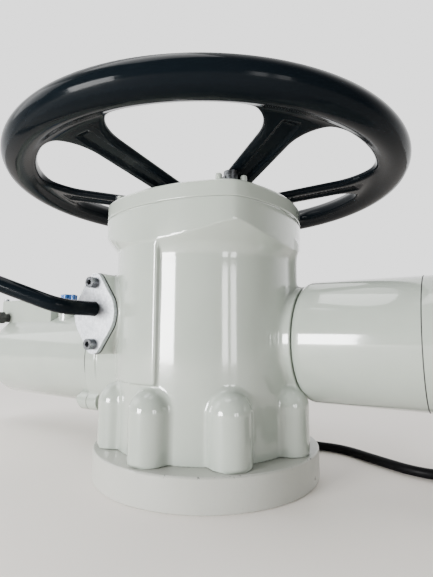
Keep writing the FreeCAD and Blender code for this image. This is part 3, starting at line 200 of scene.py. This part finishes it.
FINISHES = {
    "casing_paint": paint("casing_paint", (0.370, 0.408, 0.362, 1), (0.350, 0.388, 0.343, 1),
                          rough=0.11, peel=0.05, coat=0.9),
    "base_paint": paint("base_paint", (0.42, 0.425, 0.39, 1), (0.39, 0.40, 0.365, 1),
                        rough=0.36, peel=0.2, coat=0.1, chips=1.0),
    "black_gloss": paint("black_gloss", (0.003, 0.005, 0.007, 1), (0.004, 0.006, 0.008, 1),
                         rough=0.12, peel=0.05, coat=0.0, level=0.05),
    "zinc_plate": metal("zinc_plate", (0.62, 0.64, 0.67, 1), (0.36, 0.38, 0.41, 1),
                        rough=0.38, grain=900, strength=0.3, spots=420),
    "screw_steel": metal("screw_steel", (0.24, 0.25, 0.265, 1), (0.08, 0.085, 0.09, 1),
                         rough=0.28, grain=500),
    "machined_steel": metal("machined_steel", (0.46, 0.46, 0.46, 1), (0.33, 0.33, 0.33, 1),
                            rough=0.28, grain=300, stretch=(1, 1, 9)),
    "bearing_steel": metal("bearing_steel", (0.60, 0.60, 0.60, 1), (0.50, 0.50, 0.50, 1),
                           rough=0.15, grain=300),
    "bronze": metal("bronze", (0.55, 0.35, 0.13, 1), (0.38, 0.22, 0.08, 1), rough=0.34, grain=260),
    "seal_rubber": plastic("seal_rubber", (0.015, 0.015, 0.016, 1), (0.03, 0.03, 0.03, 1),
                           rough=0.7),
    "cable_rubber": plastic("cable_rubber", (0.003, 0.003, 0.0035, 1), (0.005, 0.005, 0.0055, 1),
                            rough=0.42, grain=700, strength=0.2, level=0.06),
    "motor_core": metal("motor_core", (0.40, 0.22, 0.12, 1), (0.20, 0.20, 0.20, 1),
                        rough=0.4, grain=400, stretch=(20, 1, 1)),
    "blue_plastic": plastic("blue_plastic", (0.006, 0.075, 0.28, 1), (0.010, 0.11, 0.36, 1),
                            rough=0.3),
    "black_plastic": plastic("black_plastic", (0.010, 0.010, 0.011, 1), (0.02, 0.02, 0.021, 1),
                             rough=0.42),
    "board_green": plastic("board_green", (0.01, 0.10, 0.04, 1), (0.02, 0.16, 0.06, 1),
                           rough=0.5, grain=300),
    "display_glass": glass("display_glass"),
    "nickel_brass": metal("nickel_brass", (0.58, 0.54, 0.46, 1), (0.40, 0.37, 0.31, 1),
                          rough=0.25, grain=300),
}
SLOT_OF = {entry["node"]: entry["material_slot"] for entry in frame["record"]["subparts"]}

for node_name, node in NODES.items():
    node.data.materials.clear()
    node.data.materials.append(FINISHES[SLOT_OF[node_name]])


# ---------------------------------------------------------------- camera, light and floor

camera = bpy.data.objects.new("camera", bpy.data.cameras.new("camera"))
bpy.context.collection.objects.link(camera)
bpy.context.scene.camera = camera
camera.data.lens = 25.34
camera.data.sensor_width = 36.0
camera.data.clip_start = 0.01
camera.location = (0.21756, -0.34149, 0.1275)
camera.rotation_euler = (math.radians(96.31), math.radians(-0.18), math.radians(31.2))

floor_mesh = bpy.data.meshes.new("floor")
edit = bmesh.new()
bmesh.ops.create_grid(edit, x_segments=1, y_segments=1, size=4.0)
edit.to_mesh(floor_mesh)
edit.free()
floor = bpy.data.objects.new("floor", floor_mesh)
bpy.context.collection.objects.link(floor)
floor_mat, floor_tree, floor_shader = shader("floor_pale")
tone = ramp(floor_tree, noise(floor_tree, 3, 2), [(0.3, (0.87, 0.81, 0.76, 1)),
                                                  (0.7, (0.90, 0.85, 0.80, 1))])
floor_tree.links.new(tone, floor_shader.inputs["Base Color"])
set_inputs(floor_shader, Roughness=0.6)
floor_mesh.materials.append(floor_mat)

# The studio is dark behind the camera and bright behind the object.
BRIGHT_SIDE = (-0.518, 0.855, 0.15)

world = bpy.data.worlds.new("studio")
bpy.context.scene.world = world
world.use_nodes = True
sky = world.node_tree
place = add(sky, "ShaderNodeTexCoord")
facing = add(sky, "ShaderNodeVectorMath", operation="DOT_PRODUCT")
facing.inputs[1].default_value = BRIGHT_SIDE
sky.links.new(place.outputs["Generated"], facing.inputs[0])
lift = add(sky, "ShaderNodeMapRange", interpolation_type="SMOOTHSTEP")
set_inputs(lift, From_Min=-0.25, From_Max=0.6, To_Min=0.13, To_Max=1.9)
sky.links.new(facing.outputs["Value"], lift.inputs["Value"])
sky.links.new(lift.outputs["Result"], sky.nodes["Background"].inputs["Strength"])
set_inputs(sky.nodes["Background"], Color=(1.0, 1.0, 1.0, 1))


def area_light(name, spot, aim, wide, high, power):
    """A soft rectangular lamp at a spot, turned to its aim."""
    lamp = bpy.data.lights.new(name, "AREA")
    lamp.shape = "RECTANGLE"
    lamp.size = wide
    lamp.size_y = high
    lamp.energy = power
    holder = bpy.data.objects.new(name, lamp)
    bpy.context.collection.objects.link(holder)
    holder.location = spot
    holder.rotation_euler = (Vector(aim) - Vector(spot)).to_track_quat("-Z", "Y").to_euler()


area_light("key_left", (-1.6, -0.9, 1.3), (0, 0, 0.15), 1.0, 1.0, 9)
area_light("window_left", (-0.65, -1.86, 0.30), (0, 0, 0.15), 0.78, 0.60, 80)
area_light("window_right_a", (1.62, -1.18, 0.27), (0, 0, 0.15), 0.24, 0.54, 6)
area_light("window_right_b", (1.80, -0.86, 0.27), (0, 0, 0.15), 0.24, 0.54, 5)
area_light("top", (-0.3, -0.4, 1.9), (0, 0, 0.2), 1.0, 1.0, 14)


# ---------------------------------------------------------------- supply cable

CABLE_DIAMETER = 9.0 * MM
CABLE_ROUTE = [
    (-15.0, 118.0, 104.0), (-15.0, 118.0, 62.0), (8.0, 119.5, 22.0), (56.0, 112.0, 4.6),
    (98.0, 118.0, 4.6), (137.0, 95.0, 4.6), (183.0, 72.0, 4.6), (228.0, 92.5, 4.6),
    (251.5, 107.2, 4.6),
]
PITCH = 9.2
RESTING = 4.6
COIL_X, COIL_Y = 281.0, 62.0
COIL_START = math.radians(123.2)
TURN_POINTS = 24
LEAVES_AFTER = COIL_START / math.tau + 4
OUTER, INNER, MIDDLE = 54.2, 45.0, 49.5

# Turns at which the cable changes track: in, up, out, up, and between the two tracks to leave.
TO_INNER, UP_INNER, TO_OUTER, UP_OUTER = (0.75, 1.0), (1.75, 2.0), (2.5, 2.75), (3.5, 3.75)
TO_MIDDLE = (3.9, LEAVES_AFTER)


def soft_step(value, start, end):
    """0 before start, 1 after end, and a smooth rise between."""
    part = min(max((value - start) / (end - start), 0.0), 1.0)
    return part * part * (3.0 - 2.0 * part)


def coil_track(turn):
    """Radius and height in the coil: changes of track pass their neighbours at one pitch."""
    quarter = math.pi / 2
    radius, height = OUTER, RESTING
    if turn >= TO_INNER[0]:
        radius = INNER + PITCH * math.cos(quarter * soft_step(turn, *TO_INNER))
        height += PITCH * math.sin(quarter * soft_step(turn, *UP_INNER))
    if turn >= TO_OUTER[0]:
        radius = OUTER - PITCH * math.cos(quarter * soft_step(turn, *TO_OUTER))
        height += PITCH * math.sin(quarter * soft_step(turn, *UP_OUTER))
    radius += (MIDDLE - OUTER) * soft_step(turn, *TO_MIDDLE)
    return radius, height


route = list(CABLE_ROUTE)
turn_steps = int(LEAVES_AFTER * TURN_POINTS)
for step in range(1, turn_steps):
    turn = step / TURN_POINTS
    angle = COIL_START - turn * math.tau
    track, lift = coil_track(turn)
    route.append((COIL_X + track * math.cos(angle), COIL_Y + track * math.sin(angle), lift))
plug_x = COIL_X + MIDDLE
route += [(plug_x, 60.0, 22.6), (plug_x, 47.0, 19.5), (plug_x, 36.0, 15.9), (plug_x, 26.0, 15.6)]

curve = bpy.data.curves.new("supply_cable_cord", "CURVE")
curve.dimensions = "3D"
curve.bevel_depth = CABLE_DIAMETER / 2
curve.bevel_resolution = 5
curve.resolution_u = 8
curve.use_fill_caps = True
line = curve.splines.new("NURBS")
line.points.add(len(route) - 1)
for point, spot in zip(line.points, route):
    point.co = (spot[0] * MM, spot[1] * MM, spot[2] * MM, 1.0)
line.order_u = 3
line.use_endpoint_u = True
curve.materials.append(FINISHES["cable_rubber"])
cable = bpy.data.objects.new("supply_cable_cord", curve)
bpy.context.collection.objects.link(cable)
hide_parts("supply_cable", "cable_coil")
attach(cable, "casing")


# ---------------------------------------------------------------- mesh pieces

def finish_piece(name, mesh, slot, body, *replaced):
    """Links a mesh as a piece of the object with its finish, hides the parts it replaces and
    attaches it to its body.
    """
    piece = bpy.data.objects.new(name, mesh)
    bpy.context.collection.objects.link(piece)
    mesh.materials.clear()
    mesh.materials.append(FINISHES[slot])
    if replaced:
        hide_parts(*replaced)
    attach(piece, body)
    return piece


def lathe(name, profile, segments, origin, axis, wobble=None):
    """A turned mesh. profile: (radius, height) in mm; wobble(height, angle) adds to the radius."""
    edit = bmesh.new()
    turn = Vector((0, 0, 1)).rotation_difference(Vector(axis)).to_matrix()
    rings = []
    for radius, height in profile:
        row = []
        for i in range(segments):
            angle = math.tau * i / segments
            reach = radius + (wobble(height, angle) if wobble and radius > 0.01 else 0.0)
            spot = turn @ Vector((reach * math.cos(angle), reach * math.sin(angle), height))
            row.append(edit.verts.new((spot + Vector(origin)) * MM))
        rings.append(row)
    for low, high in zip(rings, rings[1:]):
        for i in range(segments):
            j = (i + 1) % segments
            edit.faces.new((low[i], low[j], high[j], high[i]))
    bmesh.ops.remove_doubles(edit, verts=edit.verts, dist=1e-7)
    bmesh.ops.holes_fill(edit, edges=edit.edges, sides=segments)
    bmesh.ops.recalc_face_normals(edit, faces=edit.faces)
    mesh = bpy.data.meshes.new(name)
    edit.to_mesh(mesh)
    edit.free()
    mesh.shade_smooth()
    mesh.set_sharp_from_angle(angle=math.radians(38))
    return mesh


# ---------------------------------------------------------------- distance fields, in millimetres

def soft_min(first, second, reach):
    """Union of two fields with a fillet."""
    near = np.maximum(reach - np.abs(first - second), 0.0) / reach
    return np.minimum(first, second) - near * near * reach * 0.25


def soft_max(first, second, reach):
    """Common part of two fields with a rounded edge."""
    return -soft_min(-first, -second, reach)


def round_max(first, second, radius):
    """Common part with a true round corner, for large corners in plan."""
    a, b = first + radius, second + radius
    return np.hypot(np.maximum(a, 0), np.maximum(b, 0)) + np.minimum(np.maximum(a, b), 0) - radius


def ease(value):
    """Smooth rise from 0 to 1, over an array."""
    part = np.clip(value, 0.0, 1.0)
    return part * part * (3.0 - 2.0 * part)


SLOPE_STEP = 0.02
SETTLE_ROUNDS = 5


def settled_skin(name, node, field, voxel, depth, slot, body, bore=0.0, facing=0.3):
    """The node's shape in even quads, its outer skin moved onto the field and given its normals.

    Skin deeper inside the field than depth, turned away from the field's slope by more than facing
    allows, or within the bore's radius of the Z axis, stays as it is.
    """
    source = bpy.data.objects.new(name + "_source", NODES[node].data.copy())
    bpy.context.collection.objects.link(source)
    remesh = source.modifiers.new("remesh", "REMESH")
    remesh.mode = "VOXEL"
    remesh.voxel_size = voxel * MM
    remesh.adaptivity = 0.0
    graph = bpy.context.evaluated_depsgraph_get()
    mesh = bpy.data.meshes.new_from_object(source.evaluated_get(graph))
    bpy.data.objects.remove(source)
    mesh.name = name
    count = len(mesh.vertices)
    spots = np.empty(count * 3)
    mesh.vertices.foreach_get("co", spots)
    spots = spots.reshape(-1, 3) / MM
    normals = np.empty(count * 3)
    mesh.vertex_normals.foreach_get("vector", normals)
    normals = normals.reshape(-1, 3)

    def slope(points):
        """The field's gradient."""
        rise = np.empty_like(points)
        for axis in range(3):
            ahead, behind = points.copy(), points.copy()
            ahead[:, axis] += SLOPE_STEP
            behind[:, axis] -= SLOPE_STEP
            rise[:, axis] = (field(ahead) - field(behind)) / (2 * SLOPE_STEP)
        return rise

    value, rise = field(spots), slope(spots)
    outer = (value > -depth) & (np.einsum("ij,ij->i", normals, rise) > facing)
    outer &= np.hypot(spots[:, 0], spots[:, 1]) > bore
    moved = spots[outer]
    for _ in range(SETTLE_ROUNDS):
        value, rise = field(moved), slope(moved)
        square = np.maximum(np.einsum("ij,ij->i", rise, rise), 0.2)
        moved = moved - rise * (value / square)[:, None] * 0.95
    rise = slope(moved)
    spots[outer] = moved
    normals[outer] = rise / np.maximum(np.linalg.norm(rise, axis=1), 1e-6)[:, None]
    mesh.vertices.foreach_set("co", (spots * MM).ravel())
    mesh.update()
    mesh.shade_smooth()
    mesh.normals_split_custom_set_from_vertices(normals.tolist())
    return finish_piece(name, mesh, slot, body, node)


# Gear case: column, eight bosses, side rib, raised pad, head, necks and the lever's boss.
CASE_FOOT, SEAM, COVER_TOP = 26.3, 235.5, 249.5
FOOT_RADIUS, DRAFT, DRAFT_HEIGHT, COLUMN_RADIUS = 84.7, 1.7, 173.7, 83.0
HEAD_FOOT, INSIDE_HEAD, TAPER, TAPER_SCALE = 197.0, 210.0, 0.79, 0.785
FACE_ARC, FACE_OFFSET, CORNER_RADIUS = 149.0, 60.5, 98.8
BOSS_RADIUS, BOSS_CIRCLE, BOSS_DOME = 17.5, 84.0, 65.5
RIB_RADIUS, RIB_CIRCLE, RIB_FOOT, RIB_ANGLE = 7.0, 81.5, 75.0, math.radians(13)
PAD_RADIUS, PAD_LOW, PAD_HIGH, PAD_EDGE = 88.0, 86.0, 202.0, 6.5
MOTOR_AXIS, MOTOR_FACE, LUG_FOOT = (50.0, 96.4), -161.0, -145.0
NECK_MIDDLE, NECK_HALF_WIDTH, NECK_LOW, NECK_HIGH = 46.0, 55.0, 39.4, 108.4
NECK_ROOT, NECK_LIMIT, NECK_RADIUS, FLANGE_RADIUS = 50.0, 66.0, 60.0, 62.0
LUG_OFFSET, LUG_RADIUS = 47.38, 11.0
CONTROL_AXIS, CONTROL_FACE, CONTROL_SEAM, CONTROL_RADIUS = (35.0, 120.3), 92.0, 192.0, 52.0
TERMINAL_X, TERMINAL_Z, TERMINAL_RADIUS = -15.0, 158.0, 32.0
TERMINAL_ROOT, TERMINAL_FACE = 66.0, 96.0
LEVER_X, LEVER_Z, LEVER_FACE, LEVER_ROOT = -71.0, 145.5, -77.0, 30.0
EYE_MIDDLE, EYE_LOBE, EYE_REACH = 26.3, 9.8, 28.0


def head_plan(x, y):
    """Rounded square with bulged faces."""
    faces = np.hypot(np.abs(x) + FACE_OFFSET, y) - FACE_ARC
    faces = soft_max(faces, np.hypot(x, np.abs(y) + FACE_OFFSET) - FACE_ARC, 1.5)
    return soft_max(faces, np.hypot(x, y) - CORNER_RADIUS, 3.0)


def eye_plan(u, v, middle, lobe, reach):
    """Hull of a middle circle and two lobes above and below it."""
    v = np.abs(v)
    u = np.abs(u)
    lean = (middle - lobe) / reach
    rise = math.sqrt(1 - lean * lean)
    along = -lean * u + rise * v
    side = rise * u + lean * v - middle
    top = np.hypot(u, v - reach) - lobe
    centre = np.hypot(u, v) - middle
    return np.where(along < 0, centre, np.where(along > rise * reach, top, side))


def rod_x(x, y, z, radius, start, end, centre, edge=1.2):
    """Round bar along X, about a centre in Y and Z."""
    ends = np.maximum(start - x, x - end)
    return soft_max(np.hypot(y - centre[0], z - centre[1]) - radius, ends, edge)


def motor_neck(x, y, z):
    """Square neck with rounded corners in a round one, with a round flange and four screw lugs."""
    v, w = y - MOTOR_AXIS[0], z - MOTOR_AXIS[1]
    side = np.abs(y - NECK_MIDDLE) - NECK_HALF_WIDTH
    neck = soft_max(side, np.maximum(NECK_LOW - z, z - NECK_HIGH), 4.0)
    neck = soft_max(neck, np.hypot(v, w) - NECK_LIMIT, 4.0)
    neck = soft_max(neck, np.maximum(MOTOR_FACE - x, x + NECK_ROOT), 1.2)
    neck = soft_min(neck, rod_x(x, y, z, NECK_RADIUS, MOTOR_FACE, -NECK_ROOT, MOTOR_AXIS), 4.0)
    neck = soft_min(neck, rod_x(x, y, z, FLANGE_RADIUS, MOTOR_FACE, LUG_FOOT, MOTOR_AXIS), 3.0)
    lug = np.hypot(np.abs(v) - LUG_OFFSET, np.abs(w) - LUG_OFFSET) - LUG_RADIUS
    return soft_min(neck, soft_max(lug, np.maximum(MOTOR_FACE - x, x - LUG_FOOT), 1.2), 3.0)


def case_field(points):
    """Distance to the gear case's outer skin; each soft call ends with its fillet's reach."""
    x, y, z = points.T
    radius = np.hypot(x, y)
    wall = FOOT_RADIUS - DRAFT * (z - CASE_FOOT) / DRAFT_HEIGHT
    column = np.maximum(radius - wall, z - INSIDE_HEAD)
    taper = (radius - (COLUMN_RADIUS + (z - HEAD_FOOT) * TAPER)) * TAPER_SCALE
    head = soft_max(head_plan(x, y), taper, 0.8)
    shape = soft_min(column, head, 5.0)
    angle = np.arctan2(y, x)
    turn = angle - np.round(angle / (math.pi / 4)) * (math.pi / 4)
    boss = np.sqrt((radius * np.cos(turn) - BOSS_CIRCLE) ** 2 + (radius * np.sin(turn)) ** 2
                   + np.maximum(z - BOSS_DOME, 0) ** 2) - BOSS_RADIUS
    shape = soft_min(shape, boss, 5.0)
    rib_x, rib_y = RIB_CIRCLE * math.cos(RIB_ANGLE), RIB_CIRCLE * math.sin(RIB_ANGLE)
    rib = np.hypot(x - rib_x, y - rib_y) - RIB_RADIUS
    rib = np.maximum(rib, np.maximum(RIB_FOOT - z, z - INSIDE_HEAD))
    shape = soft_min(shape, rib, 8.0)
    pad = soft_max(radius - PAD_RADIUS, np.maximum(PAD_LOW - z, z - PAD_HIGH), 2.0)
    pad = soft_max(pad, np.maximum(x - PAD_EDGE, y), 2.5)
    shape = soft_min(shape, pad, 2.5)
    shape = soft_min(shape, motor_neck(x, y, z), 9.0)
    control_neck = rod_x(x, y, z, CONTROL_RADIUS, NECK_ROOT, CONTROL_FACE, CONTROL_AXIS)
    shape = soft_min(shape, control_neck, 5.0)
    terminal = np.hypot(x - TERMINAL_X, z - TERMINAL_Z) - TERMINAL_RADIUS
    terminal = soft_max(terminal, np.maximum(TERMINAL_ROOT - y, y - TERMINAL_FACE), 1.2)
    shape = soft_min(shape, terminal, 6.0)
    eye = eye_plan(x - LEVER_X, z - LEVER_Z, EYE_MIDDLE, EYE_LOBE, EYE_REACH)
    eye = soft_max(eye, np.maximum(LEVER_FACE - y, y - LEVER_ROOT), 1.0)
    shape = soft_min(shape, eye, 5.0)
    return soft_max(soft_max(shape, z - SEAM, 1.0), CASE_FOOT - z, 0.8)


settled_skin("gear_case_casting", "gear_case", case_field, 1.5, 4.0, "casing_paint", "casing")


LUG_CIRCLE, LUG_SPREAD, COVER_LUG_RADIUS, COVER_LUG_HEIGHT = 88.0, math.radians(6.9), 2.8, 7.0


def cover_field(points):
    """Distance to the top cover's outer skin, with a pair of small lugs beside each screw."""
    x, y, z = points.T
    plate = soft_max(head_plan(x, y), z - COVER_TOP, 2.4)
    plate = soft_max(plate, SEAM - z, 1.0)
    angle = np.arctan2(y, x)
    turn = angle - (np.floor(angle / (math.pi / 2)) + 0.5) * (math.pi / 2)
    radius = np.hypot(x, y)
    lug_turn = np.abs(turn) - LUG_SPREAD
    lug = np.hypot(radius * np.cos(lug_turn) - LUG_CIRCLE, radius * np.sin(lug_turn))
    lug = soft_max(lug - COVER_LUG_RADIUS, z - COVER_TOP - COVER_LUG_HEIGHT, 1.0)
    return soft_min(plate, lug, 2.0)


settled_skin("top_cover_casting", "top_cover", cover_field, 1.0, 1.6, "casing_paint", "casing")


def joint_ring(name, radius, x, axis):
    """Thin dark joint line where two round castings meet, across their axis along X."""
    inner, half = radius - 1.5, 0.4
    profile = [(inner, -half), (radius, -half), (radius, half), (inner, half), (inner, -half)]
    finish_piece(name, lathe(name, profile, 160, (x, *axis), (1, 0, 0)), "seal_rubber", "casing")


joint_ring("control_joint", 55.6, CONTROL_SEAM, CONTROL_AXIS)
joint_ring("motor_joint", 62.3, MOTOR_FACE, MOTOR_AXIS)


# Handwheel: round rim, dished spokes with a channel beneath, low hub.
WHEEL_RADIUS, WHEEL_SECTION, WHEEL_HEIGHT = 177.0, 12.6, 280.0
HUB_RADIUS, HUB_TOP_RADIUS, HUB_BOTTOM, HUB_TOP = 58.0, 44.0, 256.4, 264.4
SPOKE_STEP, FIRST_SPOKE, SPOKE_HALF_WIDTH = math.pi / 3, math.radians(-65.0), 14.0
SPOKE_TOP, TOP_RISE, UNDER_RISE, WEB_SCALE, WEB_RADIUS = 262.9, 0.1773, 0.1647, 0.985, 180.0
WINDOW_OUTER, OUTER_CORNER, WINDOW_INNER, INNER_CORNER = 162.9, 36.0, 52.0, 8.0
CHANNEL_DEPTH, CHANNEL_MIDDLE, CHANNEL_REACH, CHANNEL_END = 2.6, 108.0, 46.0, 7.0
CHANNEL_HALF_WIDTH, CHANNEL_SPREAD, CHANNEL_SIDE = 3.5, 0.035, 3.0


def wheel_field(points):
    """Distance to the handwheel's skin."""
    x, y, z = points.T
    radius = np.hypot(x, y)
    rim = np.hypot(radius - WHEEL_RADIUS, z - WHEEL_HEIGHT) - WHEEL_SECTION
    run = np.clip(radius - HUB_RADIUS, 0, WHEEL_RADIUS - HUB_RADIUS)
    over = z - (SPOKE_TOP + run * TOP_RISE)
    angle = np.arctan2(y, x) - FIRST_SPOKE
    turn = angle - np.round(angle / SPOKE_STEP) * SPOKE_STEP
    u, v = radius * np.cos(turn), np.abs(radius * np.sin(turn))
    side = v * math.cos(SPOKE_STEP / 2) - u * math.sin(SPOKE_STEP / 2) + SPOKE_HALF_WIDTH
    gap = round_max(side, radius - WINDOW_OUTER, OUTER_CORNER)
    gap = round_max(gap, WINDOW_INNER - radius, INNER_CORNER)
    across = np.abs(radius * np.sin(SPOKE_STEP / 2 - np.abs(turn)))
    channel = ease((CHANNEL_HALF_WIDTH + radius * CHANNEL_SPREAD - across) / CHANNEL_SIDE)
    channel = channel * ease((CHANNEL_REACH - np.abs(radius - CHANNEL_MIDDLE)) / CHANNEL_END)
    under = (HUB_BOTTOM + run * UNDER_RISE) + CHANNEL_DEPTH * channel - z
    web = np.maximum(np.maximum(under, over) * WEB_SCALE, radius - WEB_RADIUS)
    web = soft_max(web, -gap, 4.5)
    hub = soft_max(radius - HUB_TOP_RADIUS, np.maximum(HUB_BOTTOM - z, z - HUB_TOP), 1.5)
    return soft_min(soft_min(web, rim, 9.0), hub, 3.0)


settled_skin("handwheel_casting", "handwheel", wheel_field, 1.5, 20.0, "black_gloss", "hand_drive",
             bore=31.0, facing=-0.3)


# Cable ends: a tapered sleeve where the cable leaves the gland, and a round plug.
SLEEVE_RADIUS, SLEEVE_TAPER, SLEEVE_ROWS, ROW_HEIGHT = 7.6, 2.4, 24, 1.15
SLEEVE_SPOT = (-15, 118, 97.5)
PLUG_SPOT = (plug_x, COIL_Y - 80.0, 15.6)


def sleeve_rings(height, angle):
    """Shallow rings along the sleeve."""
    return 0.35 * math.cos(height * 1.6)


sleeve_profile = [(0.01, 0.0), (SLEEVE_RADIUS, 0.0)]
for row in range(1, SLEEVE_ROWS + 1):
    sleeve_profile.append((SLEEVE_RADIUS - SLEEVE_TAPER * row / SLEEVE_ROWS, row * ROW_HEIGHT))
sleeve_profile.append((4.6, 28.4))
sleeve_mesh = lathe("cable_strain_relief", sleeve_profile, 40, SLEEVE_SPOT, (0, 0, -1),
                    sleeve_rings)
sleeve = finish_piece("cable_strain_relief", sleeve_mesh, "cable_rubber", "casing")


def plug_ribs(height, angle):
    """Grip ribs round the plug's wide end."""
    if 1.5 < height < 12.5:
        return -0.5 + 0.5 * abs(math.cos(angle * 12))
    return 0.0


plug_profile = [
    (0.01, 3.0), (9.5, 3.0), (9.5, 0.4), (10.0, 0.0), (14.6, 0.0), (15.4, 0.9), (15.4, 2.0),
    (15.4, 7.0), (15.4, 12.0), (15.4, 13.0), (14.6, 14.0), (12.0, 14.6), (11.9, 18.0), (11.9, 34.0),
    (11.2, 36.0), (11.2, 40.0), (10.8, 41.0), (8.6, 46.0), (6.4, 51.0), (5.2, 51.9), (0.01, 51.9),
]
plug_mesh = lathe("cable_plug_moulding", plug_profile, 96, PLUG_SPOT, (0, 1, 0), plug_ribs)
plug = finish_piece("cable_plug_moulding", plug_mesh, "black_plastic", "casing", "cable_plug")
